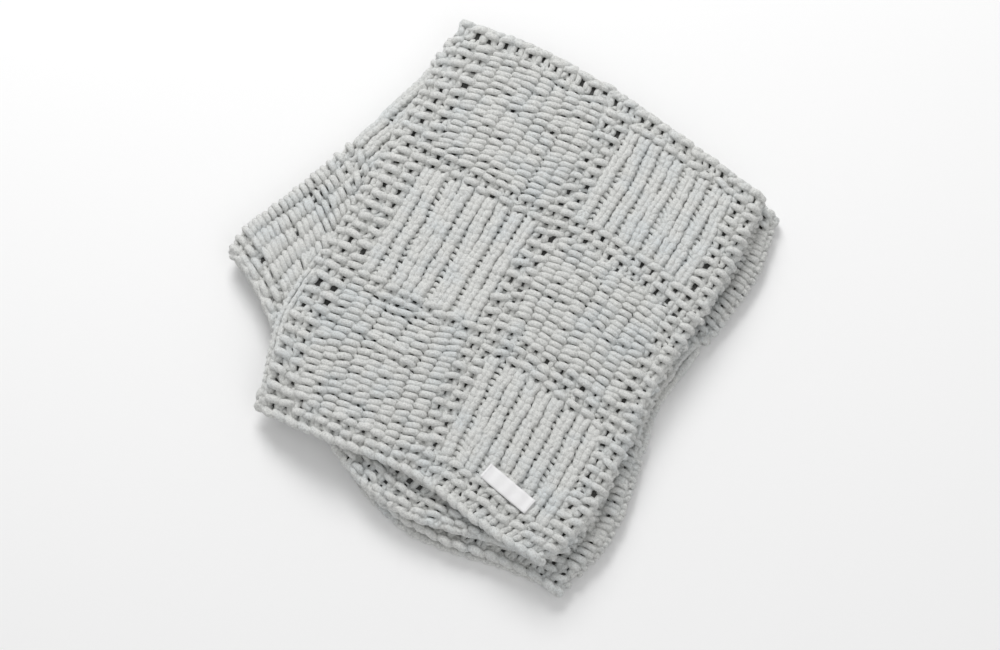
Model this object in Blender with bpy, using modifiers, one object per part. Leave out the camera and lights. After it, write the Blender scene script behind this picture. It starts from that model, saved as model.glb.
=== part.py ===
"""Knitted blanket, folded back and forth into four plies, with a blank sewn-on label.

Metres, +Z up, +Y towards the back. The cloth is one sheet: the top ply starts at its free side edge
on the left, turns under at the right, comes back, turns under at the left, and so on, down to the
ply that lies on the surface. A place on the cloth is given by how far along this section it lies and
by how far it is from the back edge (0) to the front edge (1).
"""
import math
from collections import namedtuple

import bmesh
import bpy
import numpy as np

# Cloth
CLOTH = 0.0074
PLY_STEP = 0.0098
PLIES_UP = {"bottom": 0, "lower": 1, "upper": 2, "top": 3}

# The stack is a little uneven: this is what each ply adds to the height of the ones above it
SWELL_CROWN = 0.00040
SWELL_WAVE = 0.00030
CROWN_HALF_WIDTH = 0.17
CROWN_HALF_LENGTH = 0.20
WAVE_LENGTH_X = 0.21
WAVE_LENGTH_Y = 0.26

# The box of the folded blanket is centred on the origin
SHIFT_X = 0.02705
SHIFT_Y = -0.01439

# Plan of the free edge and of the three folds' axes, from the back edge to the front edge
Place = namedtuple("Place", "down x y")
TOP_SIDE_EDGE = (
    Place(0.00, -0.149, 0.199),
    Place(0.30, -0.149, 0.094),
    Place(0.58, -0.147, -0.006),
    Place(0.78, -0.153, -0.078),
    Place(0.90, -0.142, -0.121),
    Place(1.00, -0.129, -0.157),
)
TOP_FOLD = (
    Place(0.00, 0.127, 0.190),
    Place(0.05, 0.131, 0.175),
    Place(0.25, 0.134, 0.106),
    Place(0.50, 0.129, 0.014),
    Place(0.80, 0.136, -0.092),
    Place(0.93, 0.131, -0.133),
    Place(1.00, 0.119, -0.154),
)
LEFT_FOLD = (
    Place(0.00, -0.147, 0.182),
    Place(0.20, -0.153, 0.133),
    Place(0.42, -0.168, 0.076),
    Place(0.66, -0.188, 0.013),
    Place(0.85, -0.205, -0.032),
    Place(0.95, -0.209, -0.053),
    Place(1.00, -0.205, -0.063),
)
LOWER_FOLD = (
    Place(0.00, 0.143, 0.188),
    Place(0.18, 0.152, 0.130),
    Place(0.40, 0.140, 0.045),
    Place(0.54, 0.136, -0.002),
    Place(0.68, 0.146, -0.047),
    Place(0.84, 0.155, -0.106),
    Place(1.00, 0.142, -0.166),
)
BOTTOM_END_INSET = 0.012
RIGHT = np.array([1.0, 0.0])
LEFT_FOLD_FACES = np.array([-0.968, 0.250])

# How far each ply's back and front edges bow out, and where along the ply they bow the most
Bow = namedtuple("Bow", "back back_peak front front_peak front_power")
BOWS = {
    "top": Bow(0.0140, 0.34, -0.0100, 0.55, 4.0),
    "upper": Bow(0.0150, 0.42, 0.0560, 0.56, 1.5),
    "lower": Bow(0.0110, 0.45, 0.0525, 0.54, 1.5),
    "bottom": Bow(0.0150, 0.50, 0.0545, 0.55, 1.5),
}

# Knitted blocks of the top ply, counted in stitches from the side edge and rows from the front edge
STITCHES_TO_FOLD = 24.5
BLOCK_STARTS = (3, 14)
BLOCK_STITCHES = 9
BLOCK_FIRST_ROWS = (5, 26, 47)
BLOCK_ROWS = 17
ROWS = 67

# The knitting is a little tighter towards the back: where each counted row lies
RowPlace = namedtuple("RowPlace", "row down")
ROW_PLACES = (
    RowPlace(0.0, 1.000),
    RowPlace(4.4, 0.930),
    RowPlace(22.4, 0.645),
    RowPlace(26.4, 0.593),
    RowPlace(42.4, 0.358),
    RowPlace(46.4, 0.303),
    RowPlace(64.4, 0.045),
    RowPlace(ROWS, 0.000),
)
RIB_HEIGHT = 0.0012
BAND_HEIGHT = 0.0008
BLOCK_CROWN = 0.0007

# The front left corner of the top ply hangs past the plies under it
OVERHANG_FROM = np.array([-0.150, -0.096])
OVERHANG_FACES = np.array([-0.546, -0.838])
OVERHANG = 0.043
DROOP = 0.0185
DROOP_POWER = 1.7

# Grid of the cloth
PLY_STATIONS = 12
FOLD_STATIONS = 6

# Label
LABEL_LENGTH = 0.045
LABEL_WIDTH = 0.0135
LABEL_THICKNESS = 0.0005
LABEL_X = 0.0755
LABEL_Y = -0.1190
LABEL_TURN = math.radians(-10.5)
LABEL_GAP = 0.0003
LABEL_CELLS = (12, 4)


def smooth_place(places, down):
    """Read a smooth line through the places, at one share of the way from back to front."""
    shares = [place.down for place in places]
    last = len(places) - 1
    low = min(max(int(np.searchsorted(shares, down, side="right")) - 1, 0), last - 1)
    before, after = max(low - 1, 0), min(low + 2, last)
    span = shares[low + 1] - shares[low]
    part = (down - shares[low]) / span
    points = {k: np.array([places[k].x, places[k].y]) for k in (before, low, low + 1, after)}
    slope_a = (points[low + 1] - points[before]) / (shares[low + 1] - shares[before]) * span
    slope_b = (points[after] - points[low]) / (shares[after] - shares[low]) * span
    return (
        (2 * part**3 - 3 * part**2 + 1) * points[low]
        + (part**3 - 2 * part**2 + part) * slope_a
        + (3 * part**2 - 2 * part**3) * points[low + 1]
        + (part**3 - part**2) * slope_b
    )


def row_down(row):
    """Share of the way from the back edge to the front edge at which a row lies."""
    return float(np.interp(row, [place.row for place in ROW_PLACES], [place.down for place in ROW_PLACES]))


def bump(share, peak, power):
    """A rounded rise from 0 at both ends of a run to 1 at its peak."""
    if share < peak:
        angle = share / peak * math.pi / 2
    else:
        angle = (1 - (share - peak) / (1 - peak)) * math.pi / 2
    return math.sin(max(angle, 0.0)) ** power


def ply_point(ply, left, right, share, down):
    """A plan point of a ply, at a share of the way from its left end to its right end."""
    bow = BOWS[ply]
    point = left + (right - left) * share
    back = bow.back * bump(share, bow.back_peak, 1.0) * (1 - down) ** 2
    front = bow.front * bump(share, bow.front_peak, bow.front_power) * down**2
    return point + np.array([0.0, back - front])


def ply_height(ply, point):
    """Height of a ply's middle over a plan point; the bottom ply is level."""
    crown = (1 - (point[0] / CROWN_HALF_WIDTH) ** 2) * (1 - (point[1] / CROWN_HALF_LENGTH) ** 2)
    wave = math.sin(math.tau * (point[0] / WAVE_LENGTH_X + 0.1))
    wave *= math.sin(math.tau * (point[1] / WAVE_LENGTH_Y + 0.3))
    swell = SWELL_CROWN * max(crown, -0.5) + SWELL_WAVE * wave
    return CLOTH / 2 + PLIES_UP[ply] * (PLY_STEP + swell)


def droop(point):
    """How far the top ply has sunk where it hangs past the plies under it."""
    past = max(float(np.dot(point - OVERHANG_FROM, OVERHANG_FACES)), 0.0)
    return DROOP * (past / OVERHANG) ** DROOP_POWER


def block_share(count, starts, length):
    """Which block a stitch or row is in, and its share of the way through the block."""
    for number, start in enumerate(starts):
        if start <= count <= start + length:
            return number, (count - start) / length
    return None, 0.0


def relief(stitch, row):
    """Height of the knitting on the top ply: ribs, crowned blocks and the bands between them."""
    column, across = block_share(stitch, BLOCK_STARTS, BLOCK_STITCHES)
    line, along = block_share(row, BLOCK_FIRST_ROWS, BLOCK_ROWS)
    if column is None or line is None:
        middle_rows = [start - 2 for start in BLOCK_FIRST_ROWS[1:]]
        on_band = any(abs(row - middle) < 0.5 for middle in middle_rows)
        return BAND_HEIGHT if on_band else 0.0
    window = 1.0 if 0.0 < along < 1.0 else 0.0
    height = BLOCK_CROWN * math.sin(math.pi * across) * math.sin(math.pi * along)
    ribbed = (column + line) % 2 == 1
    if ribbed:
        height += RIB_HEIGHT * window * -math.cos(2 * math.pi * (stitch - BLOCK_STARTS[column]))
    return height


def top_stations():
    """Stitch counts where the top ply has a line of points: two to a stitch in the blocks."""
    stations = [0.0, 1.5]
    for start in BLOCK_STARTS:
        stations += [start + step / 2 for step in range(2 * BLOCK_STITCHES + 1)]
        if start == BLOCK_STARTS[0]:
            stations.append(start + BLOCK_STITCHES + 1.0)
    return stations + [STITCHES_TO_FOLD]


def row_stations():
    """Row counts, from the front edge, where the whole cloth has a line of points."""
    stations = [0.0, BLOCK_FIRST_ROWS[0] / 2]
    for start in BLOCK_FIRST_ROWS:
        stations += [start + BLOCK_ROWS * quarter / 4 for quarter in range(5)]
        if start != BLOCK_FIRST_ROWS[-1]:
            stations.append(start + BLOCK_ROWS + 2.0)
    return stations + [ROWS - 2.0, float(ROWS)]


def fold_points(axis, faces, low_ply, high_ply):
    """Half a turn of cloth about a level axis, from its upper ply to its lower one."""
    low, high = ply_height(low_ply, axis), ply_height(high_ply, axis)
    bend = (high - low) / 2
    points = []
    for step in range(1, FOLD_STATIONS):
        angle = math.pi / 2 - math.pi * step / FOLD_STATIONS
        plan = axis + faces * bend * math.cos(angle)
        points.append((plan[0], plan[1], (low + high) / 2 + bend * math.sin(angle)))
    return points


def ply_points(ply, start, end, leftwards, down):
    """One run of cloth from one end or fold to the next, both ends included."""
    points = []
    for step in range(PLY_STATIONS + 1):
        share = step / PLY_STATIONS
        left, right = (end, start) if leftwards else (start, end)
        plan = ply_point(ply, left, right, 1 - share if leftwards else share, down)
        points.append((plan[0], plan[1], ply_height(ply, plan)))
    return points


def section(row):
    """The cloth's middle along one row of knitting, from the top free edge to the bottom one."""
    down = row_down(row)
    side_edge = smooth_place(TOP_SIDE_EDGE, down)
    top_fold = smooth_place(TOP_FOLD, down)
    left_fold = smooth_place(LEFT_FOLD, down)
    lower_fold = smooth_place(LOWER_FOLD, down)
    bottom_end = left_fold - LEFT_FOLD_FACES * BOTTOM_END_INSET
    points = []
    for stitch in top_stations():
        plan = ply_point("top", side_edge, top_fold, stitch / STITCHES_TO_FOLD, down)
        height = ply_height("top", plan) + relief(stitch, row) - droop(plan)
        points.append((plan[0], plan[1], height))
    points += fold_points(top_fold, RIGHT, "upper", "top")
    points += ply_points("upper", top_fold, left_fold, True, down)
    points += fold_points(left_fold, LEFT_FOLD_FACES, "lower", "upper")
    points += ply_points("lower", left_fold, lower_fold, False, down)
    points += fold_points(lower_fold, RIGHT, "bottom", "lower")
    points += ply_points("bottom", lower_fold, bottom_end, True, down)
    return [(x + SHIFT_X, y + SHIFT_Y, z) for x, y, z in points]


def cloth_material(name, colour, roughness):
    """A plain Principled material."""
    material = bpy.data.materials.new(name)
    material.use_nodes = True
    shader = material.node_tree.nodes["Principled BSDF"]
    shader.inputs["Base Color"].default_value = (*colour, 1.0)
    shader.inputs["Roughness"].default_value = roughness
    shader.inputs["Metallic"].default_value = 0.0
    return material


def grid_object(name, lines, thickness, material, collection):
    """A sheet through lines of points, given its thickness by Solidify."""
    mesh = bpy.data.meshes.new(name)
    grid = bmesh.new()
    rows = [[grid.verts.new(point) for point in line] for line in lines]
    for first, second in zip(rows, rows[1:]):
        for k in range(len(first) - 1):
            grid.faces.new((first[k], second[k], second[k + 1], first[k + 1]))
    bmesh.ops.recalc_face_normals(grid, faces=grid.faces)
    grid.to_mesh(mesh)
    grid.free()
    mesh.shade_smooth()
    mesh.materials.append(material)
    sheet = bpy.data.objects.new(name, mesh)
    collection.objects.link(sheet)
    solid = sheet.modifiers.new("Thickness", "SOLIDIFY")
    solid.thickness = thickness
    solid.offset = 0.0
    solid.use_even_offset = True
    return sheet


def build_blanket(collection):
    """The whole cloth as one sheet, folded back and forth."""
    material = cloth_material("pale_grey_chenille", (0.62, 0.66, 0.65), 0.95)
    lines = [section(row) for row in row_stations()]
    return grid_object("blanket", lines, CLOTH, material, collection)


def build_label(collection):
    """The blank label, lying on the ribs near the front edge."""
    material = cloth_material("white_satin", (0.86, 0.86, 0.85), 0.45)
    cloth_top = ply_height("top", (LABEL_X, LABEL_Y)) + RIB_HEIGHT + BLOCK_CROWN + CLOTH / 2
    height = cloth_top + LABEL_GAP + LABEL_THICKNESS / 2
    cells_long, cells_wide = LABEL_CELLS
    lines = []
    for wide in range(cells_wide + 1):
        across = (wide / cells_wide - 0.5) * LABEL_WIDTH
        line = []
        for long in range(cells_long + 1):
            share = long / cells_long
            along = (share - 0.5) * LABEL_LENGTH
            x = LABEL_X + along * math.cos(LABEL_TURN) - across * math.sin(LABEL_TURN)
            y = LABEL_Y + along * math.sin(LABEL_TURN) + across * math.cos(LABEL_TURN)
            line.append((x + SHIFT_X, y + SHIFT_Y, height))
        lines.append(line)
    return grid_object("label", lines, LABEL_THICKNESS, material, collection)


def main():
    for old in list(bpy.data.objects):
        bpy.data.objects.remove(old, do_unlink=True)
    collection = bpy.data.collections.new("knit_blanket")
    bpy.context.scene.collection.children.link(collection)
    build_blanket(collection)
    build_label(collection)


main()
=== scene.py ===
# %% [markdown]
# # A chunky knitted blanket, folded on a table
#
# This lesson dresses the folded blanket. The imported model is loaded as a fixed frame: it already has
# the size of the folded cloth, and nothing in it is moved. On the real blanket everything that shows
# is one thick, soft yarn, looped into rows. So the yarn itself is modelled: one tube for each row of
# knitting, which runs through every loop of its row and follows the folds of the cloth.

# %% Load the frame
import math
from collections import namedtuple

import bmesh
import bpy
import numpy as np
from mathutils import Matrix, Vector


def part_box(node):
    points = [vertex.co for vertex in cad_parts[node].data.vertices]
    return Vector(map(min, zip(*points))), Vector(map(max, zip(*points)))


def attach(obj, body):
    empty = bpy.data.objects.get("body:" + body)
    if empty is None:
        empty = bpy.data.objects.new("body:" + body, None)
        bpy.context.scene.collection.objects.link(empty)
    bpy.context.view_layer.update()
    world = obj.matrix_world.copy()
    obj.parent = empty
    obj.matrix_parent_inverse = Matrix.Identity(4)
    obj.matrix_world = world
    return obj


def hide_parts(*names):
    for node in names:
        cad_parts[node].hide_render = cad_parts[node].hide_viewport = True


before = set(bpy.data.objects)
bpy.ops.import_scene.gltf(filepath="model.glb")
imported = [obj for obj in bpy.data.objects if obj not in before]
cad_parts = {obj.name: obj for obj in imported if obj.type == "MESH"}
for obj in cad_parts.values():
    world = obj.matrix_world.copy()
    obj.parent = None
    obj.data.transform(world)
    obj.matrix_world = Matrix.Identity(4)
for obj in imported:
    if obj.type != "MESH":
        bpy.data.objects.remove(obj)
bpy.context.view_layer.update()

# %% [markdown]
# ## The folded cloth
#
# A knitted blanket is one sheet. Here it is folded back and forth, so a cut from left to right shows
# four plies joined by three folds. The shape could be simulated, but the folds are simple and the
# knitting has to know where it is on the cloth, so the cloth is a formula: give it a count of stitches
# along the section and a share of the way from the back edge to the front edge, and it gives a point.
# The tables hold the free side edge and the axes of the folds, seen from above, and the shift brings
# them to the middle of the frame. The bows round the front and back edges of each ply, and the
# overhang is the corner that droops past the plies below.

# %% Sizes of the folded cloth
CLOTH = 0.0074
PLY_STEP = 0.0098
PLIES_UP = {"bottom": 0, "lower": 1, "upper": 2, "top": 3}
SHIFT = np.array([0.02705, -0.01439])

SWELL_CROWN, SWELL_WAVE = 0.00040, 0.00030
CROWN_HALF_WIDTH, CROWN_HALF_LENGTH, CROWN_LOWEST = 0.17, 0.20, -0.5
WAVE_LENGTH_X, WAVE_LENGTH_Y = 0.21, 0.26
WAVE_START_X, WAVE_START_Y = 0.1, 0.3

Place = namedtuple("Place", "down x y")
TOP_SIDE_EDGE = (
    Place(0.00, -0.149, 0.199),
    Place(0.30, -0.149, 0.094),
    Place(0.58, -0.147, -0.006),
    Place(0.78, -0.153, -0.078),
    Place(0.90, -0.142, -0.121),
    Place(1.00, -0.129, -0.157),
)
TOP_FOLD = (
    Place(0.00, 0.127, 0.190),
    Place(0.05, 0.131, 0.175),
    Place(0.25, 0.134, 0.106),
    Place(0.50, 0.129, 0.014),
    Place(0.80, 0.136, -0.092),
    Place(0.93, 0.131, -0.133),
    Place(1.00, 0.119, -0.154),
)
LEFT_FOLD = (
    Place(0.00, -0.147, 0.182),
    Place(0.20, -0.153, 0.133),
    Place(0.42, -0.168, 0.076),
    Place(0.66, -0.188, 0.013),
    Place(0.85, -0.205, -0.032),
    Place(0.95, -0.209, -0.053),
    Place(1.00, -0.205, -0.063),
)
LOWER_FOLD = (
    Place(0.00, 0.143, 0.188),
    Place(0.18, 0.152, 0.130),
    Place(0.40, 0.140, 0.045),
    Place(0.54, 0.136, -0.002),
    Place(0.68, 0.146, -0.047),
    Place(0.84, 0.155, -0.106),
    Place(1.00, 0.142, -0.166),
)
BOTTOM_END_INSET = 0.012
RIGHT = np.array([1.0, 0.0])
LEFT_FOLD_FACES = np.array([-0.968, 0.250])

Bow = namedtuple("Bow", "back back_peak front front_peak front_power")
BOWS = {
    "top": Bow(0.0140, 0.34, -0.0100, 0.55, 4.0),
    "upper": Bow(0.0150, 0.42, 0.0560, 0.56, 1.5),
    "lower": Bow(0.0110, 0.45, 0.0525, 0.54, 1.5),
    "bottom": Bow(0.0150, 0.50, 0.0545, 0.55, 1.5),
}

OVERHANG_FROM = np.array([-0.150, -0.096])
OVERHANG_FACES = np.array([-0.546, -0.838])
OVERHANG = 0.043
DROOP, DROOP_POWER = 0.0185, 1.7
print("cloth", round(CLOTH * 1000, 1), "mm thick, plies", round(PLY_STEP * 1000, 1), "mm apart")


# %% Read the tables smoothly
def smooth_places(places, down):
    """Smooth line through a table of places, read at an array of shares from back to front."""
    shares = np.array([place.down for place in places])
    points = np.array([(place.x, place.y) for place in places])
    slopes = np.empty_like(points)
    slopes[1:-1] = (points[2:] - points[:-2]) / (shares[2:] - shares[:-2])[:, None]
    slopes[0] = (points[1] - points[0]) / (shares[1] - shares[0])
    slopes[-1] = (points[-1] - points[-2]) / (shares[-1] - shares[-2])
    low = np.clip(np.searchsorted(shares, down, side="right") - 1, 0, len(shares) - 2)
    span = (shares[low + 1] - shares[low])[:, None]
    part = (down[:, None] - shares[low][:, None]) / span
    return (
        (2 * part**3 - 3 * part**2 + 1) * points[low]
        + (part**3 - 2 * part**2 + part) * slopes[low] * span
        + (3 * part**2 - 2 * part**3) * points[low + 1]
        + (part**3 - part**2) * slopes[low + 1] * span
    )


def rise(share, peak, power):
    """A rounded rise from 0 at both ends of a ply to 1 at its peak."""
    angle = share / peak if share < peak else (1 - share) / (1 - peak)
    return math.sin(max(angle, 0.0) * math.pi / 2) ** power


def ply_plan(ply, left, right, share, down):
    """Plan points of a ply, at a share of the way from its left end to its right end."""
    bow = BOWS[ply]
    plan = left + (right - left) * share
    plan[:, 1] += bow.back * rise(share, bow.back_peak, 1.0) * (1 - down) ** 2
    plan[:, 1] -= bow.front * rise(share, bow.front_peak, bow.front_power) * down**2
    return plan


def ply_height(ply, plan):
    """Height of the middle of a ply over plan points. The bottom ply is level."""
    crown = 1 - (plan[:, 0] / CROWN_HALF_WIDTH) ** 2
    crown *= 1 - (plan[:, 1] / CROWN_HALF_LENGTH) ** 2
    wave = np.sin(math.tau * (plan[:, 0] / WAVE_LENGTH_X + WAVE_START_X))
    wave *= np.sin(math.tau * (plan[:, 1] / WAVE_LENGTH_Y + WAVE_START_Y))
    swell = SWELL_CROWN * np.maximum(crown, CROWN_LOWEST) + SWELL_WAVE * wave
    return CLOTH / 2 + PLIES_UP[ply] * (PLY_STEP + swell)


def droop(plan):
    """How far the top ply sinks where it hangs past the plies under it."""
    past = np.maximum((plan - OVERHANG_FROM) @ OVERHANG_FACES, 0.0)
    return DROOP * (past / OVERHANG) ** DROOP_POWER


# %% [markdown]
# ## One grid for the whole section
#
# The section is counted in stitches: 24.5 of them cross the top ply, a fold takes about one and a
# third, and so on round to the free end of the bottom ply. The formula is worked out once on a fine
# grid, with the direction in which the cloth faces. Everything that is knitted later reads its place
# from this grid, which is quick even for a hundred thousand points.

# %% Lay out the section
Run = namedtuple("Run", "kind name stitches")
FOLD_STITCHES = 1.35
SECTION = (
    Run("ply", "top", 24.5),
    Run("fold", "top_fold", FOLD_STITCHES),
    Run("ply", "upper", 28.5),
    Run("fold", "left_fold", FOLD_STITCHES),
    Run("ply", "lower", 30.0),
    Run("fold", "lower_fold", FOLD_STITCHES),
    Run("ply", "bottom", 29.0),
)
RUN_ENDS = dict(zip([run.name for run in SECTION], np.cumsum([run.stitches for run in SECTION])))
STITCHES = int(RUN_ENDS["bottom"])
PLY_CELLS, FOLD_CELLS, DOWN_CELLS = 90, 14, 160


def raw_section(down):
    """Stitch counts and points of the cloth's middle, for an array of shares from back to front."""
    side_edge = smooth_places(TOP_SIDE_EDGE, down)
    top_fold = smooth_places(TOP_FOLD, down)
    left_fold = smooth_places(LEFT_FOLD, down)
    lower_fold = smooth_places(LOWER_FOLD, down)
    bottom_end = left_fold - LEFT_FOLD_FACES * BOTTOM_END_INSET
    ends = {
        "top": (side_edge, top_fold, False),
        "upper": (left_fold, top_fold, True),
        "lower": (left_fold, lower_fold, False),
        "bottom": (bottom_end, lower_fold, True),
    }
    folds = {
        "top_fold": (top_fold, RIGHT, "upper", "top"),
        "left_fold": (left_fold, LEFT_FOLD_FACES, "lower", "upper"),
        "lower_fold": (lower_fold, RIGHT, "bottom", "lower"),
    }
    counts, lines = [], []
    for run in SECTION:
        first = RUN_ENDS[run.name] - run.stitches
        cells = PLY_CELLS if run.kind == "ply" else FOLD_CELLS
        for step in range(cells):
            share = step / cells
            if run.kind == "ply":
                left, right, leftwards = ends[run.name]
                plan = ply_plan(run.name, left, right, 1 - share if leftwards else share, down)
                height = ply_height(run.name, plan)
                if run.name == "top":
                    height = height - droop(plan)
            else:
                axis, faces, low_ply, high_ply = folds[run.name]
                low, high = ply_height(low_ply, axis), ply_height(high_ply, axis)
                turn = math.pi / 2 - math.pi * share
                plan = axis + faces * ((high - low) / 2 * math.cos(turn))[:, None]
                height = (low + high) / 2 + (high - low) / 2 * math.sin(turn)
            counts.append(first + run.stitches * share)
            lines.append(np.column_stack([plan + SHIFT, height]))
    counts.append(RUN_ENDS["bottom"])
    left, right, _ = ends["bottom"]
    plan = ply_plan("bottom", left.copy(), right, 0.0, down)
    lines.append(np.column_stack([plan + SHIFT, ply_height("bottom", plan)]))
    return np.array(counts), np.array(lines)


DOWNS = np.linspace(0.0, 1.0, DOWN_CELLS + 1)
COUNTS, GRID = raw_section(DOWNS)
along_section = np.gradient(GRID, axis=0)
towards_front = np.gradient(GRID, axis=1)
FACES = np.cross(towards_front, along_section)
FACES /= np.linalg.norm(FACES, axis=2, keepdims=True)
lengths = np.linalg.norm(np.diff(GRID, axis=1), axis=2).sum(axis=1)
widths = np.linalg.norm(np.diff(GRID, axis=0), axis=2).sum(axis=0)
print("grid", GRID.shape, "length back to front", lengths.min().round(3), lengths.max().round(3))
print("section along the back, middle and front", widths[[0, DOWN_CELLS // 2, -1]].round(3))


def on_cloth(count, down, lift):
    """World points for stitch counts and shares down the cloth, lifted from its middle by lift."""
    at = np.interp(count, COUNTS, np.arange(len(COUNTS)))
    row = np.clip(down, 0.0, 1.0) * DOWN_CELLS
    a, b = np.minimum(at.astype(int), len(COUNTS) - 2), np.minimum(row.astype(int), DOWN_CELLS - 1)
    p, q = (at - a)[:, None], (row - b)[:, None]

    def blend(grid):
        low = grid[a, b] * (1 - q) + grid[a, b + 1] * q
        high = grid[a + 1, b] * (1 - q) + grid[a + 1, b + 1] * q
        return low * (1 - p) + high * p

    return blend(GRID) + blend(FACES) * lift[:, None]


# %% [markdown]
# The outermost stitch of a knitted edge is always a little narrower than the others, and it rolls
# downwards. So its share of the cloth is cut, and the two stitches beside it fill the rest.

# %% The free side edge
SIDE_STITCH_WIDTH, SIDE_BAND_END = 0.72, 3.0
SIDE_DROP, SIDE_ROLL_POWER = 0.0030, 1.5


def knit_point(count, down, lift):
    """The same as on_cloth, with the outermost stitch at the free side edge narrow and rolled."""
    into_roll = np.clip(1.0 - count, 0.0, 1.0)
    drawn_in = np.interp(count, [-1, 0, 1, SIDE_BAND_END, STITCHES],
                         [-SIDE_STITCH_WIDTH, 0, SIDE_STITCH_WIDTH, SIDE_BAND_END, STITCHES])
    return on_cloth(drawn_in, down, lift - SIDE_DROP * into_roll**SIDE_ROLL_POWER)


# %% [markdown]
# ## Where the rows lie
#
# Rows are counted from the front edge. On the top ply there are 67, closer together in the bands
# between the blocks. They don't run straight: the knitting has been pulled about, so right of the
# middle a row lies further back than on the left. The table gives both, and rows run smoothly from one
# to the other. The left fold is shorter than the top ply, so fewer rows reach it: the plies below
# count their rows from the front at an even spacing, and a row that runs out over the back edge ends
# there.

# %% Rows
ROWS = 67
ROW_PITCH = 0.0053
RowPlace = namedtuple("RowPlace", "row left right")
ROW_PLACES = (
    RowPlace(0.0, 1.000, 1.000),
    RowPlace(4.4, 0.942, 0.919),
    RowPlace(22.4, 0.654, 0.637),
    RowPlace(26.4, 0.602, 0.585),
    RowPlace(42.4, 0.369, 0.348),
    RowPlace(46.4, 0.316, 0.291),
    RowPlace(64.4, 0.047, 0.044),
    RowPlace(ROWS, 0.000, 0.000),
)
RIGHTNESS = ((10.0, 0.0), (15.5, 1.0), (19.0, 1.0), (25.0, 0.3))
BLEND_STITCHES = 6.0


def row_down(count, row):
    """Share of the way from back to front at which a row lies, at a stitch count."""
    counted, left, right = zip(*ROW_PLACES)
    rightness = np.interp(count, *zip(*RIGHTNESS))
    top = np.interp(row, counted, left) * (1 - rightness)
    top = top + np.interp(row, counted, right) * rightness
    below = 1 - row * ROW_PITCH / np.interp(count, COUNTS, lengths)
    share = np.clip((count - RUN_ENDS["top_fold"]) / BLEND_STITCHES, 0.0, 1.0)
    return top * (1 - share) + below * share


# %% [markdown]
# ## The chart
#
# A knitter works from a chart of two stitches. Seen from the face of the cloth, a knit stitch shows
# its two legs, and a column of them is a smooth rib. A purl stitch shows the head of its loop, and a
# field of them looks like small bricks. Bands where knit and purl rows take turns draw up into ridges
# with holes between them. This blanket has blocks of 9 stitches by 17 rows, knit and purl by turns as
# on a chessboard, framed by such bands. At the front third of the free side edge the outermost stitch
# is knit in every row, which gives a smooth chain there.

# %% The chart
EDGE_STITCHES, BLOCK_STITCHES, BAND_STITCHES, FOLD_BAND_STITCHES = 3, 9, 2, 4
EDGE_ROWS, BLOCK_ROWS, BAND_ROWS, BLOCK_LINES = 5, 17, 4, 3
COLUMN_BEFORE_FOLD = 1
SIDE_CHAIN_ROWS = 20


def block_columns():
    """Which column of blocks each stitch of the section is in, or -1 in a band.

    The band at the top fold is wider than the others, and the blocks on both sides of it are alike.
    """
    columns = np.full(STITCHES, -1)
    start, column = EDGE_STITCHES, 0
    while start < STITCHES:
        columns[start:start + BLOCK_STITCHES] = column
        over_the_fold = column == COLUMN_BEFORE_FOLD
        start += BLOCK_STITCHES + (FOLD_BAND_STITCHES if over_the_fold else BAND_STITCHES)
        column += 2 if over_the_fold else 1
    return columns


def block_lines():
    """Which line of blocks each row is in, or -1 in a band."""
    lines = np.full(ROWS, -1)
    for line in range(BLOCK_LINES):
        start = EDGE_ROWS + line * (BLOCK_ROWS + BAND_ROWS)
        lines[start:start + BLOCK_ROWS] = line
    return lines


columns, lines_of_blocks = block_columns()[:, None], block_lines()[None, :]
in_block = (columns >= 0) & (lines_of_blocks >= 0)
block_is_knit = (columns + lines_of_blocks) % 2 == 1
KNIT = np.where(in_block, block_is_knit, np.arange(ROWS)[None, :] % 2 == 1)
KNIT[0, :SIDE_CHAIN_ROWS] = True
print("stitches in the chart", KNIT.size, "of which knit", int(KNIT.sum()))

# %% [markdown]
# ## Which stitches are made
#
# The whole blanket has about eight thousand stitches, and most of those between the plies can't be
# seen from anywhere. Those are left to a plain ground cloth. The yarn is made on the top ply, on what
# shows of the ply under it, round the folds, along the open edges, and underneath.

# %% Choose the stitches
OPEN_EDGE_ROWS = 5
FOLD_DEPTH = 4.0
HIDDEN_MARGIN = 0.024
TOP_FRONT_Y = -0.155
stitch_grid, row_grid = np.meshgrid(np.arange(STITCHES), np.arange(ROWS), indexing="ij")
stitch = stitch_grid + 0.5
centre_down = row_down(stitch.ravel(), row_grid.ravel() + 0.5)
centre = on_cloth(stitch.ravel(), centre_down, np.zeros(stitch.size))[:, :2] - SHIFT
side_edge = np.array([(place.y, place.x) for place in TOP_SIDE_EDGE])[::-1]
side_edge_x = np.interp(centre[:, 1], side_edge[:, 0], side_edge[:, 1])
shows = (centre[:, 0] < side_edge_x + HIDDEN_MARGIN) | (centre[:, 1] < TOP_FRONT_Y + HIDDEN_MARGIN)
rows_here = np.minimum(np.interp(stitch, COUNTS, lengths) / ROW_PITCH, ROWS)

made = (stitch < RUN_ENDS["top_fold"] + FOLD_DEPTH) | (stitch > RUN_ENDS["lower"] - FOLD_DEPTH)
made |= (stitch < RUN_ENDS["upper"]) & shows.reshape(KNIT.shape)
made |= np.abs(stitch - RUN_ENDS["upper"] - FOLD_STITCHES / 2) < FOLD_DEPTH
made |= (row_grid < OPEN_EDGE_ROWS) | (row_grid > rows_here - OPEN_EDGE_ROWS)
made &= centre_down.reshape(KNIT.shape) > 0.5 / ROWS
print("stitches made", int(made.sum()), "of", made.size)

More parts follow.
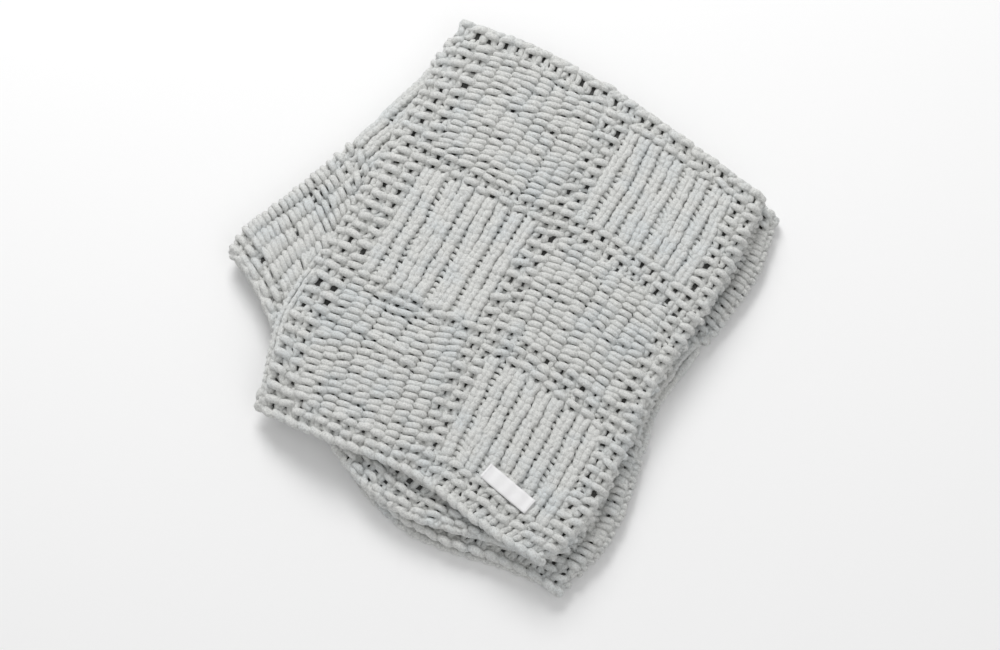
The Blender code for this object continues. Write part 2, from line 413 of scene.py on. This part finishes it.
# %% [markdown]
# ## One stitch of yarn
#
# Every loop has the same parts: half a sinker, a foot, a leg, a shoulder, the head, and the same
# again down the other side. How they lie depends on two things, the stitch itself and the one above
# it, which holds its head. That makes four kinds. Knit under knit gives the narrow pair of legs of a
# rib. Purl under purl gives the wide, full head of a brick. Knit under purl gives the arch of a
# ridge, with its legs apart and a hole between them, and purl under knit is the valley behind it. A
# fifth kind, the chain, is the knit stitch at the front third of the free side edge, whose legs lie
# further apart. A physical simulation of yarn would settle into these by itself, but five short
# tables are quick, and each number can be set against the real blanket.
#
# A part says how far across it is from the middle of its stitch, in stitches, how far up it is from
# the start of its row, in rows, how far it lifts off the middle of the cloth, in millimetres, and how
# thick the yarn is there, as a share of the yarn's own thickness.

# %% The five loops
YARN = 0.0050
MILLIMETRES_IN_A_METRE = 1000
Part = namedtuple("Part", "across up lift thick")
LOOPS = {
    "rib": (
        Part(0.50, 0.06, -1.5, 0.94),
        Part(0.31, 0.00, -1.2, 0.96),
        Part(0.115, 0.03, 0.3, 1.14),
        Part(0.14, 0.38, 1.0, 1.28),
        Part(0.175, 0.84, 1.2, 1.32),
        Part(0.20, 1.16, 0.5, 1.12),
        Part(0.19, 1.37, -1.4, 0.90),
        Part(0.00, 1.44, -2.0, 0.88),
    ),
    "brick": (
        Part(0.50, 0.26, -0.3, 0.80),
        Part(0.37, 0.12, -0.6, 0.84),
        Part(0.25, 0.24, -1.3, 0.86),
        Part(0.23, 0.60, -1.8, 0.88),
        Part(0.31, 1.05, -1.5, 0.88),
        Part(0.42, 1.37, 0.1, 1.00),
        Part(0.33, 1.41, 1.5, 1.10),
        Part(0.00, 1.42, 1.9, 1.12),
    ),
    "arch": (
        Part(0.50, 0.04, -1.6, 0.90),
        Part(0.41, 0.02, -1.5, 0.90),
        Part(0.33, 0.22, -1.1, 1.00),
        Part(0.30, 0.55, -0.6, 1.06),
        Part(0.33, 0.94, -0.2, 1.06),
        Part(0.43, 1.22, 0.3, 1.02),
        Part(0.34, 1.32, 2.0, 1.14),
        Part(0.00, 1.36, 2.7, 1.18),
    ),
    "valley": (
        Part(0.50, 0.26, -0.2, 0.90),
        Part(0.40, 0.14, -0.6, 0.90),
        Part(0.33, 0.26, -1.2, 0.96),
        Part(0.30, 0.55, -1.5, 0.96),
        Part(0.31, 0.90, -1.6, 0.92),
        Part(0.29, 1.10, -2.1, 0.90),
        Part(0.19, 1.20, -2.5, 0.84),
        Part(0.00, 1.24, -2.6, 0.82),
    ),
    "chain": (
        Part(0.50, 0.08, -0.9, 0.94),
        Part(0.36, 0.04, -0.4, 0.94),
        Part(0.26, 0.12, 1.0, 1.00),
        Part(0.23, 0.45, 1.5, 1.04),
        Part(0.23, 0.85, 1.5, 1.04),
        Part(0.26, 1.14, 0.9, 0.98),
        Part(0.20, 1.34, -1.4, 0.92),
        Part(0.00, 1.42, -1.8, 0.92),
    ),
}
KINDS = list(LOOPS)


def whole_loop(parts):
    """A loop from left to right, without the last point, which is the next loop's first."""
    left = [(-part.across, part.up, part.lift, part.thick) for part in parts]
    right = [tuple(part) for part in parts[-2:0:-1]]
    return left + right


TABLE = np.array([whole_loop(LOOPS[kind]) for kind in KINDS])
TABLE[:, :, 2] /= MILLIMETRES_IN_A_METRE
print("points in a loop", TABLE.shape[1], "yarn", YARN * 1000, "mm")

# %% [markdown]
# The plies turn at each fold, so on the upper ply and round the left fold the cloth shows its back.
# There a knit stitch looks like a purl stitch. Their loops are picked as they look from the back and
# then turned over, so that both sides of the blanket have the right stitches.

# %% Pick a loop for every stitch
knit_above = np.column_stack([KNIT[:, 1:], np.ones(STITCHES, dtype=bool)])
shows_back = (stitch > RUN_ENDS["top_fold"]) & (stitch < RUN_ENDS["left_fold"] + FOLD_DEPTH)
looks_knit, above_looks_knit = KNIT ^ shows_back, knit_above ^ shows_back
KIND = np.select(
    [looks_knit & above_looks_knit, ~looks_knit & ~above_looks_knit, looks_knit & ~above_looks_knit],
    [KINDS.index("rib"), KINDS.index("brick"), KINDS.index("arch")],
    KINDS.index("valley"),
)
KIND[0, :SIDE_CHAIN_ROWS] = KINDS.index("chain")
SIDE = np.where(shows_back, -1.0, 1.0)
print({kind: int((KIND == index).sum()) for index, kind in enumerate(KINDS)})

# %% [markdown]
# ## Rows of yarn
#
# Hand knitting is never even. Columns of stitches wander, rows ripple, and each loop is a little
# larger, thicker, higher or more tilted than the next. Each of these gets a field of noise over the
# chart. Smoothing a field along the columns or along the rows keeps neighbours together, so that the
# yarn doesn't tangle. The numbers are seeded, so each run gives the same blanket. Wander is counted in
# stitches, ripple and slant in rows and height in metres. Size and thickness are shares of one.

# %% Unevenness
SIDE_CHAIN_THICKNESS, SIDE_THICKNESS, SIDE_BAND_THICKNESS = 0.84, 0.96, 1.10
FRONT_TO_BACK_THICKNESS = (1.04, 0.97)
LEAN, BLOCK_LEAN = 0.14, 0.05
RIDGE_UNEVENNESS = 1.5
RIDGE_LOOSENESS, RIB_LOOSENESS, OTHER_LOOSENESS = 1.5, 0.70, 0.85
SEED = 5441
random = np.random.default_rng(SEED)


def uneven(amount, along=1, down=1):
    """Noise over the chart, averaged over some stitches along and some rows down."""
    field = random.normal(0, 1, KNIT.shape)
    for axis, width in ((0, along), (1, down)):
        window = np.hanning(width + 2)[1:-1] if width > 1 else np.ones(1)
        field = np.apply_along_axis(np.convolve, axis, field, window / window.sum(), "same")
    return field * amount / field.std()


wander = uneven(0.070, down=25) + uneven(0.040, down=7) + uneven(0.03)
ripple = uneven(0.11, along=7, down=2) + uneven(0.12, down=5) + uneven(0.03)
height = uneven(0.00022, along=3, down=3) + uneven(0.00015)
in_ridges = (KIND == KINDS.index("arch")) | (KIND == KINDS.index("valley"))
size = 1 + (uneven(0.04, down=3) + uneven(0.06)) * np.where(in_ridges, RIDGE_UNEVENNESS, 1.0)
slant = LEAN + uneven(0.05, along=2, down=4) + uneven(0.07)
ridge_slant = uneven(0.09)
block_slant = BLOCK_LEAN + uneven(0.05, along=7, down=7)
slant += np.where(in_ridges, ridge_slant, block_slant)
thickness = 1 + uneven(0.035, along=4) + uneven(0.035)
thickness *= np.interp(np.arange(ROWS), [0, ROWS - 1], FRONT_TO_BACK_THICKNESS)
in_side_chain = np.arange(ROWS) < SIDE_CHAIN_ROWS
thickness[0] *= np.where(in_side_chain, SIDE_CHAIN_THICKNESS, SIDE_THICKNESS)
thickness[1:EDGE_STITCHES] *= SIDE_BAND_THICKNESS
looseness = np.where(KIND == KINDS.index("rib"), RIB_LOOSENESS, OTHER_LOOSENESS)
looseness = np.where(in_ridges, RIDGE_LOOSENESS, looseness)
FIELDS = {"wander": wander, "ripple": ripple, "height": height, "size": size, "slant": slant,
          "thickness": thickness, "looseness": looseness}
print("yarn thickness from", thickness.min().round(2), "to", thickness.max().round(2), "of its own")

# %% [markdown]
# The fields move whole loops. Inside a loop the yarn bends too: three places of each loop, its left
# side, its head and its right side, are each pushed a little, and the points between follow.

# %% Loose loops
LOOSE_PLACES = (0, 3.5, 7, 10.5, 14)
LOOP_POINTS = np.arange(TABLE.shape[1])
LOOSE = np.array([np.interp(LOOP_POINTS, LOOSE_PLACES, push) for push in np.eye(5)[1:4]])
LOOSE_ACROSS, LOOSE_UP, LOOSE_LIFT = 0.040, 0.070, 0.00030
JOIN_WIDTH, LUMPS = 0.15, 0.03


def row_of_yarn(first, last, row):
    """Stitch counts, rows, lifts and thicknesses along the yarn of some stitches of one row.

    Near its neighbours, within the join's width, a loop stays in its place, so that the yarn runs on.
    """
    i = np.arange(first, last + 1)
    loops = TABLE[KIND[i, row]].copy()
    loops[:, :, 2] *= SIDE[i, row][:, None]
    before = loops[np.maximum(np.arange(len(i)) - 1, 0), 0]
    loops[:, 0, 1:] = (loops[:, 0, 1:] + before[:, 1:]) / 2
    across, up, lift, thick = np.moveaxis(loops, 2, 0)
    inner = np.clip((0.5 - np.abs(across)) / JOIN_WIDTH, 0, 1)
    upper = np.clip(up, 0, 1)
    field = {name: grid[i, row][:, None] for name, grid in FIELDS.items()}
    stretch = 1 + (field["size"] - 1) * upper
    count = i[:, None] + 0.5 + across * stretch + field["wander"] * inner
    rows = row + up * stretch + field["ripple"] * inner
    rows = rows + field["slant"] * across * 2 * upper
    lift = lift + field["height"] * inner
    push = (random.normal(0, 1, (3, len(i), 3)) @ LOOSE) * field["looseness"]
    count = count + push[0] * LOOSE_ACROSS
    rows = rows + push[1] * LOOSE_UP
    lift = lift + push[2] * LOOSE_LIFT
    lumps = 1 + random.normal(0, LUMPS, across.shape)
    thick = thick * field["thickness"] * lumps
    return count.ravel(), rows.ravel(), lift.ravel(), thick.ravel()


def runs_of(mask):
    """First and last index of each unbroken run of True in a line."""
    padded = np.concatenate([[False], mask, [False]])
    edges = np.flatnonzero(padded[1:] != padded[:-1])
    return [(int(a), int(b) - 1) for a, b in zip(edges[::2], edges[1::2])]


# %% [markdown]
# A tube could be built ring by ring, but a curve with a round bevel does the same work, and each of
# its points can have its own thickness. The finished tubes are turned into one mesh for each piece.
# Yarn that is seen closely gets more sides than yarn in the plies below, which keeps the mesh light.

# %% Curves into meshes
def yarn_object(name, strands, sides_level, radius):
    """A mesh of round strands: each strand is world points and a thickness for each of them."""
    curve = bpy.data.curves.new(name, "CURVE")
    curve.dimensions = "3D"
    curve.bevel_depth = radius
    curve.bevel_resolution = sides_level
    curve.use_fill_caps = True
    for points, thickness in strands:
        spline = curve.splines.new("POLY")
        spline.points.add(len(points) - 1)
        spline.points.foreach_set("co", np.column_stack([points, np.ones(len(points))]).ravel())
        spline.points.foreach_set("radius", thickness)
    source = bpy.data.objects.new(name + "_curve", curve)
    bpy.context.scene.collection.objects.link(source)
    evaluated = source.evaluated_get(bpy.context.evaluated_depsgraph_get())
    mesh = bpy.data.meshes.new_from_object(evaluated)
    bpy.data.objects.remove(source)
    mesh.name = name
    piece = bpy.data.objects.new(name, mesh)
    bpy.context.scene.collection.objects.link(piece)
    mesh.shade_smooth()
    triangles = sum(len(face.vertices) - 2 for face in mesh.polygons)
    print(name, "strands", len(strands), "triangles", triangles)
    return piece


def knit_piece(name, stitches, rows, sides_level):
    """The yarn of the made stitches in a range of stitches and rows."""
    strands = []
    for row in range(*rows):
        mask = np.zeros(STITCHES, dtype=bool)
        mask[stitches[0]:stitches[1]] = made[stitches[0]:stitches[1], row]
        for first, last in runs_of(mask):
            count, row_place, lift, thick = row_of_yarn(first, last, row)
            points = knit_point(count, row_down(count, row_place), lift)
            points[:, 2] = np.maximum(points[:, 2], YARN / 2 * thick)
            strands.append((points, thick))
    return yarn_object(name, strands, sides_level, YARN / 2)


top_last = int(RUN_ENDS["top_fold"] + FOLD_DEPTH) + 1
left_last = int(RUN_ENDS["left_fold"] + FOLD_DEPTH) + 1
lower_last = int(RUN_ENDS["lower_fold"]) + 3
knitting = [
    knit_piece("knitting_top_front", (0, top_last), (0, 24), 2),
    knit_piece("knitting_top_middle", (0, top_last), (24, 45), 2),
    knit_piece("knitting_top_back", (0, top_last), (45, ROWS), 2),
    knit_piece("knitting_upper_ply", (top_last, left_last), (0, ROWS), 1),
    knit_piece("knitting_lower_ply", (left_last, lower_last), (0, ROWS), 1),
    knit_piece("knitting_underside", (lower_last, STITCHES), (0, ROWS), 0),
]


# %% [markdown]
# ## Cast-on and bind-off
#
# The first row stands on a cast-on edge and the last row ends in a bind-off. Both look like a chain of
# bumps along the edge: about one long bump for each stitch at the cast-on, and shorter, rounder bumps
# at the bind-off. One strand that goes forward on top and back underneath, like a row of backstitch,
# gives just that. The chains run along the front and back edges of all four plies and round the folds
# between them. At the free corner of the top ply each chain turns and runs on for a little more than
# one stitch along the side edge.

# %% Edge chains
CHAIN_POINTS = 10
CHAIN_REACH, CHAIN_SWAY, CHAIN_RISE, CHAIN_FULLNESS = 0.13, 0.0008, 0.0017, 0.10
UNEVEN_PITCH, UNEVEN_SWAY, UNEVEN_SIZE, CHAIN_LUMPS = 0.10, 0.0005, 0.06, 0.02
WALE_WIDTH, ROUND_CORNER, CORNER_BEND = 0.0113, 1.3, 0.5
SHORT_OF_END = 0.4
CAST_ON_OUT, BIND_OFF_OUT = -0.0014, -0.0024


def unit(vectors):
    """Vectors brought to a length of one."""
    return vectors / np.linalg.norm(vectors, axis=-1, keepdims=True)


def edge_chain(name, column, neighbour, out, bumps, strand):
    """One strand that runs along an open edge of the cloth, with some bumps to a stitch."""
    edge = GRID[:, column]
    outward = unit(edge - GRID[:, neighbour])
    sideways = unit(GRID[0, column] - GRID[3, column])
    whole_bumps = np.arange(-3, int(STITCHES * bumps) + 2)
    pitch_noise = random.normal(0, UNEVEN_PITCH, len(whole_bumps))
    bump = np.arange(-ROUND_CORNER * bumps, STITCHES * bumps - SHORT_OF_END, 1 / CHAIN_POINTS)
    turn = math.tau * bump
    along = np.interp(bump, whole_bumps, whole_bumps + pitch_noise)
    count = (along + CHAIN_REACH * np.sin(turn)) / bumps

    def read(lines):
        return np.column_stack([np.interp(count, COUNTS, lines[:, axis]) for axis in range(3)])

    sway_noise = random.normal(0, UNEVEN_SWAY, len(whole_bumps))
    sway = CHAIN_SWAY * np.sin(turn) + np.interp(bump, whole_bumps, sway_noise)
    size_noise = random.normal(0, UNEVEN_SIZE, len(whole_bumps))
    size = np.interp(bump, whole_bumps, 1 + size_noise)
    lumps = random.normal(0, CHAIN_LUMPS, len(count))
    thick = size * (1 + CHAIN_FULLNESS * np.cos(turn)) + lumps
    round_corner = np.clip(-count, 0, None)[:, None]
    aside = np.clip(round_corner / CORNER_BEND, 0, 1)
    facing = unit(read(outward) * (1 - aside) + sideways * aside)
    points = read(edge) + facing * (out + sway)[:, None] - outward[0] * round_corner * WALE_WIDTH
    points += read(FACES[:, column]) * (CHAIN_RISE * np.cos(turn))[:, None]
    points[:, 2] -= SIDE_DROP * np.clip(1 - count, 0, 1)
    points[:, 2] = np.maximum(points[:, 2], strand / 2 * thick)
    return yarn_object(name, [(points, thick)], 2, strand / 2)


knitting.append(edge_chain("cast_on_edge", -1, -4, CAST_ON_OUT, bumps=0.95, strand=0.0062))
knitting.append(edge_chain("bind_off_edge", 0, 3, BIND_OFF_OUT, bumps=1.4, strand=0.0054))

# %% [markdown]
# ## The ground cloth
#
# Chenille has a short pile that fills the space between the loops, so one can't see far into the
# knitting. A thin sheet behind the loops stops the eye there: under the loops of the three upper
# plies, and over those of the bottom ply, which is seen from below. It follows every fold and stands
# for the knitting where no yarn is made. It is coloured much darker than the yarn: painted shade for
# the depth between the loops.

# %% Ground cloth
GROUND_THICKNESS = 0.0010
GROUND_DEPTH = 0.0021
GROUND_MARGIN = 0.007
GROUND_FIRST, GROUND_SPAN = 0.9, STITCHES - 1.3
GROUND_CELLS = (150, 60)


def ground_lift(count):
    """How far the sheet lies off the middle of the cloth, on the side turned away from the eye."""
    turn_over = (count - RUN_ENDS["top_fold"]) / FOLD_DEPTH
    turn_back = (count - RUN_ENDS["left_fold"]) / FOLD_DEPTH
    return GROUND_DEPTH * (2 * np.clip(turn_over, 0, 1) - 2 * np.clip(turn_back, 0, 1) - 1)


def shade_ground_cloth():
    """A grid bent to the folded cloth and thickened by Solidify."""
    mesh = bpy.data.meshes.new("shade_ground_cloth")
    grid = bmesh.new()
    bmesh.ops.create_grid(grid, x_segments=GROUND_CELLS[0], y_segments=GROUND_CELLS[1], size=1.0)
    flat = np.array([vertex.co for vertex in grid.verts])
    count = GROUND_FIRST + (flat[:, 0] + 1) / 2 * GROUND_SPAN
    down = GROUND_MARGIN + (flat[:, 1] + 1) / 2 * (1 - 2 * GROUND_MARGIN)
    for vertex, point in zip(grid.verts, on_cloth(count, down, ground_lift(count))):
        vertex.co = point
    bmesh.ops.recalc_face_normals(grid, faces=grid.faces)
    grid.to_mesh(mesh)
    grid.free()
    mesh.shade_smooth()
    sheet = bpy.data.objects.new("shade_ground_cloth", mesh)
    bpy.context.scene.collection.objects.link(sheet)
    solid = sheet.modifiers.new("Thickness", "SOLIDIFY")
    solid.thickness = GROUND_THICKNESS
    solid.offset = 0.0
    return sheet


# A dark sheet: its colour, given with the materials, is painted shade in the holes between the loops.
ground = shade_ground_cloth()
ground_area = sum(face.area for face in ground.data.polygons)
print("ground cloth area", round(ground_area, 4), "square metres")

# %% [markdown]
# ## Chenille
#
# The yarn is a pale, cool grey with faint bluish patches. It has no gloss: light catches the tips of
# the pile, which sheen gives. The pile could be made of real hairs, but there would be millions. Fine
# noise is enough here: as bump it breaks up the surface, and as colour it is painted shade in the gaps
# between the tufts. The ground cloth has the same pile noise in a dark grey, which is painted shade
# for the depth between the loops, and has no sheen.

# %% Materials
def new_material(name, roughness):
    """A Principled material and its parts."""
    material = bpy.data.materials.new(name)
    material.use_nodes = True
    nodes, links = material.node_tree.nodes, material.node_tree.links
    shader = nodes["Principled BSDF"]
    shader.inputs["Roughness"].default_value = roughness
    return material, nodes, links, shader


# tips and patches are the yarn's own colours; the middle colour is painted shade between the tufts of
# pile.
Shades = namedtuple("Shades", "tips gaps patches")


def chenille(name, shades, sheen):
    """Soft pile: patches of colour from slow noise, bump and painted gap shade from fast noise."""
    material, nodes, links, shader = new_material(name, 0.95)
    shader.inputs["Sheen Weight"].default_value = sheen
    shader.inputs["Sheen Roughness"].default_value = 0.45
    place = nodes.new("ShaderNodeTexCoord")
    patches = nodes.new("ShaderNodeTexNoise")
    patches.inputs["Scale"].default_value = 38.0
    patches.inputs["Detail"].default_value = 3.0
    tint = nodes.new("ShaderNodeMix")
    tint.data_type = "RGBA"
    tint.inputs["A"].default_value = (*shades.tips, 1.0)
    tint.inputs["B"].default_value = (*shades.patches, 1.0)
    step = nodes.new("ShaderNodeMapRange")
    step.inputs["From Min"].default_value = 0.45
    step.inputs["From Max"].default_value = 0.70
    pile = nodes.new("ShaderNodeTexNoise")
    pile.inputs["Scale"].default_value = 620.0
    pile.inputs["Detail"].default_value = 4.0
    pile.inputs["Roughness"].default_value = 0.7
    # Painted shade: fast noise darkens the colour towards the middle shade between the tufts.
    shade = nodes.new("ShaderNodeMix")
    shade.data_type = "RGBA"
    shade.inputs["A"].default_value = (*shades.gaps, 1.0)
    tuft_shade_mask = nodes.new("ShaderNodeMapRange")
    tuft_shade_mask.inputs["From Min"].default_value = 0.34
    tuft_shade_mask.inputs["From Max"].default_value = 0.60
    bump = nodes.new("ShaderNodeBump")
    bump.inputs["Strength"].default_value = 0.9
    bump.inputs["Distance"].default_value = 0.0018
    for noise in (patches, pile):
        links.new(place.outputs["Object"], noise.inputs["Vector"])
    links.new(patches.outputs["Fac"], step.inputs["Value"])
    links.new(step.outputs["Result"], tint.inputs["Factor"])
    links.new(pile.outputs["Fac"], tuft_shade_mask.inputs["Value"])
    links.new(tuft_shade_mask.outputs["Result"], shade.inputs["Factor"])
    links.new(tint.outputs["Result"], shade.inputs["B"])
    links.new(shade.outputs["Result"], shader.inputs["Base Color"])
    links.new(pile.outputs["Fac"], bump.inputs["Height"])
    links.new(bump.outputs["Normal"], shader.inputs["Normal"])
    return material


# The yarn's middle colour is painted shade between the tufts of pile.
YARN_SHADES = Shades((0.86, 0.865, 0.84), (0.60, 0.605, 0.59), (0.79, 0.83, 0.84))
# The ground sheet's colours are all painted shade for the depth between the loops.
GROUND_PAINTED_SHADE = Shades((0.13, 0.13, 0.125), (0.045, 0.045, 0.043), (0.07, 0.073, 0.076))
yarn_material = chenille("chenille", YARN_SHADES, sheen=0.35)
shade_ground_material = chenille("painted_shade_ground", GROUND_PAINTED_SHADE, sheen=0.0)
for piece in knitting:
    piece.data.materials.clear()
    piece.data.materials.append(yarn_material)
ground.data.materials.append(shade_ground_material)
print("chenille on", len(knitting), "pieces of knitting")

# %% [markdown]
# ## The label
#
# A short, plain satin label is sewn on near the front edge, at its two short ends. It lies on four
# columns of the rib and gives a little over each of them. It could be one flat plate, but a bent
# sheet catches the light in soft bands as satin does, and short threads at the ends hold it down.

# %% Label
LABEL_LENGTH, LABEL_WIDTH, LABEL_THICKNESS = 0.045, 0.0135, 0.0004
LABEL_TURN = math.radians(-10.5)
LABEL_WAVE = 0.00022
LABEL_CURL = 0.0005
LABEL_CELLS = (44, 8)
label_low, label_high = (np.array(corner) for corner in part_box("label"))
label_centre = (label_low + label_high) / 2


def label_point(along, across):
    """A point on the label: it bends a little over each column of the rib and its corners lift."""
    x = along * math.cos(LABEL_TURN) - across * math.sin(LABEL_TURN)
    y = along * math.sin(LABEL_TURN) + across * math.cos(LABEL_TURN)
    wave = LABEL_WAVE * math.cos(math.tau * along / WALE_WIDTH)
    curl = LABEL_CURL * (2 * along / LABEL_LENGTH) ** 4 * (0.5 - across / LABEL_WIDTH)
    return label_centre + np.array([x, y, wave + curl])


def label_sheet():
    """The satin of the label as one bent grid."""
    mesh = bpy.data.meshes.new("satin_label")
    grid = bmesh.new()
    bmesh.ops.create_grid(grid, x_segments=LABEL_CELLS[0], y_segments=LABEL_CELLS[1], size=1.0)
    for vertex in grid.verts:
        vertex.co = label_point(vertex.co.x * LABEL_LENGTH / 2, vertex.co.y * LABEL_WIDTH / 2)
    grid.to_mesh(mesh)
    grid.free()
    mesh.shade_smooth()
    sheet = bpy.data.objects.new("satin_label", mesh)
    bpy.context.scene.collection.objects.link(sheet)
    solid = sheet.modifiers.new("Thickness", "SOLIDIFY")
    solid.thickness = LABEL_THICKNESS
    solid.offset = 0.0
    return sheet


label = label_sheet()
print("label", LABEL_LENGTH * 1000, "by", LABEL_WIDTH * 1000, "mm, turned",
      round(math.degrees(LABEL_TURN), 1), "degrees")

# %% Stitches at both ends of the label
THREAD, THREADS_AT_END = 0.00036, 4
THREAD_SPREAD, THREAD_INSET = 0.36, 0.0016
THREAD_RUN = (-0.0012, -0.0008, 0.0, 0.0008, 0.0012)
THREAD_ARCH = np.array([-0.1, 0.9, 1.2, 0.9, -0.1])
thread_strands = []
for end in (-1, 1):
    for across in np.linspace(-THREAD_SPREAD, THREAD_SPREAD, THREADS_AT_END) * LABEL_WIDTH:
        along = end * (LABEL_LENGTH / 2 - THREAD_INSET)
        line = [label_point(along, across + half) for half in THREAD_RUN]
        lifts = THREAD_ARCH * THREAD / 2 + LABEL_THICKNESS / 2
        points = np.array(line) + np.outer(lifts, (0, 0, 1))
        thread_strands.append((points, np.ones(len(points))))
label_stitches = yarn_object("label_stitches", thread_strands, 1, THREAD / 2)

# %% [markdown]
# Satin is smoother than the chenille, so it is less rough and its weave is fine enough for bump.

# %% Satin
satin, nodes, links, shader = new_material("white_satin", 0.38)
shader.inputs["Sheen Weight"].default_value = 0.25
place = nodes.new("ShaderNodeTexCoord")
weave = nodes.new("ShaderNodeTexWave")
weave.bands_direction = "DIAGONAL"
weave.inputs["Scale"].default_value = 700.0
weave.inputs["Distortion"].default_value = 0.6
cloud = nodes.new("ShaderNodeTexNoise")
cloud.inputs["Scale"].default_value = 160.0
tone = nodes.new("ShaderNodeMix")
tone.data_type = "RGBA"
tone.inputs["A"].default_value = (0.80, 0.79, 0.80, 1.0)
tone.inputs["B"].default_value = (0.90, 0.90, 0.90, 1.0)
bump = nodes.new("ShaderNodeBump")
bump.inputs["Strength"].default_value = 0.20
bump.inputs["Distance"].default_value = 0.0002
links.new(place.outputs["Object"], weave.inputs["Vector"])
links.new(place.outputs["Object"], cloud.inputs["Vector"])
links.new(cloud.outputs["Fac"], tone.inputs["Factor"])
links.new(tone.outputs["Result"], shader.inputs["Base Color"])
links.new(weave.outputs["Fac"], bump.inputs["Height"])
links.new(bump.outputs["Normal"], shader.inputs["Normal"])
for piece in (label, label_stitches):
    piece.data.materials.clear()
    piece.data.materials.append(satin)

# %% [markdown]
# ## Pieces on the frame
#
# Nothing moves, so every piece rides on the one body. The knitting and its ground stand for the plain
# cloth of the frame. Laid out flat, the whole rectangle of knitting is about its 116 stitches of 11.4
# millimetres by its 67 rows of 5.3 millimetres.

for piece in [*knitting, ground]:
    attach(piece, "root")
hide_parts("blanket")
for piece in (label, label_stitches):
    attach(piece, "root")
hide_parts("label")
print("pieces on the frame", len(knitting) + 3)

# %% [markdown]
# ## Studio
#
# A pale floor and soft light from the back left, with a camera that looks down steeply. The light
# could come from a picture of a real studio, but two square lamps and an even white sky give the same
# soft shadows and need no file.

# %% Floor, light and camera
FLOOR_HALF_WIDTH, FLOOR_GREY = 6.0, 0.93
SKY_STRENGTH = 0.50


def stage_floor():
    """A wide plain floor."""
    mesh = bpy.data.meshes.new("floor")
    plane = bmesh.new()
    bmesh.ops.create_grid(plane, x_segments=1, y_segments=1, size=FLOOR_HALF_WIDTH)
    plane.to_mesh(mesh)
    plane.free()
    floor = bpy.data.objects.new("floor", mesh)
    bpy.context.scene.collection.objects.link(floor)
    material, _, _, shader = new_material("floor", 0.8)
    shader.inputs["Base Color"].default_value = (FLOOR_GREY, FLOOR_GREY, FLOOR_GREY, 1.0)
    mesh.materials.append(material)


def area_light(name, place, size, power):
    """A square soft light that faces the blanket."""
    data = bpy.data.lights.new(name, "AREA")
    data.size = size
    data.energy = power
    light = bpy.data.objects.new(name, data)
    light.location = place
    light.rotation_euler = (-light.location).to_track_quat("-Z", "Y").to_euler()
    bpy.context.scene.collection.objects.link(light)


stage_floor()
area_light("key", place=(-1.1, 1.3, 1.75), size=1.1, power=38.0)
area_light("fill", place=(1.4, -0.6, 2.0), size=2.0, power=7.0)
world = bpy.data.worlds.new("studio")
world.use_nodes = True
sky = world.node_tree.nodes["Background"]
sky.inputs["Color"].default_value = (1.0, 1.0, 1.0, 1.0)
sky.inputs["Strength"].default_value = SKY_STRENGTH
bpy.context.scene.world = world
bpy.context.scene.view_settings.view_transform = "Standard"

AZIMUTH, ELEVATION, DISTANCE = math.radians(30), math.radians(75), 1.9
LENS = 85.5
towards_camera = np.array([
    math.sin(AZIMUTH) * math.cos(ELEVATION),
    -math.cos(AZIMUTH) * math.cos(ELEVATION),
    math.sin(ELEVATION),
])
camera = bpy.data.objects.new("camera", bpy.data.cameras.new("camera"))
camera.data.lens = LENS
camera.location = np.array([*SHIFT, 0.0]) + towards_camera * DISTANCE
camera.rotation_euler = (math.radians(90) - ELEVATION, 0.0, AZIMUTH)
bpy.context.scene.collection.objects.link(camera)
bpy.context.scene.camera = camera
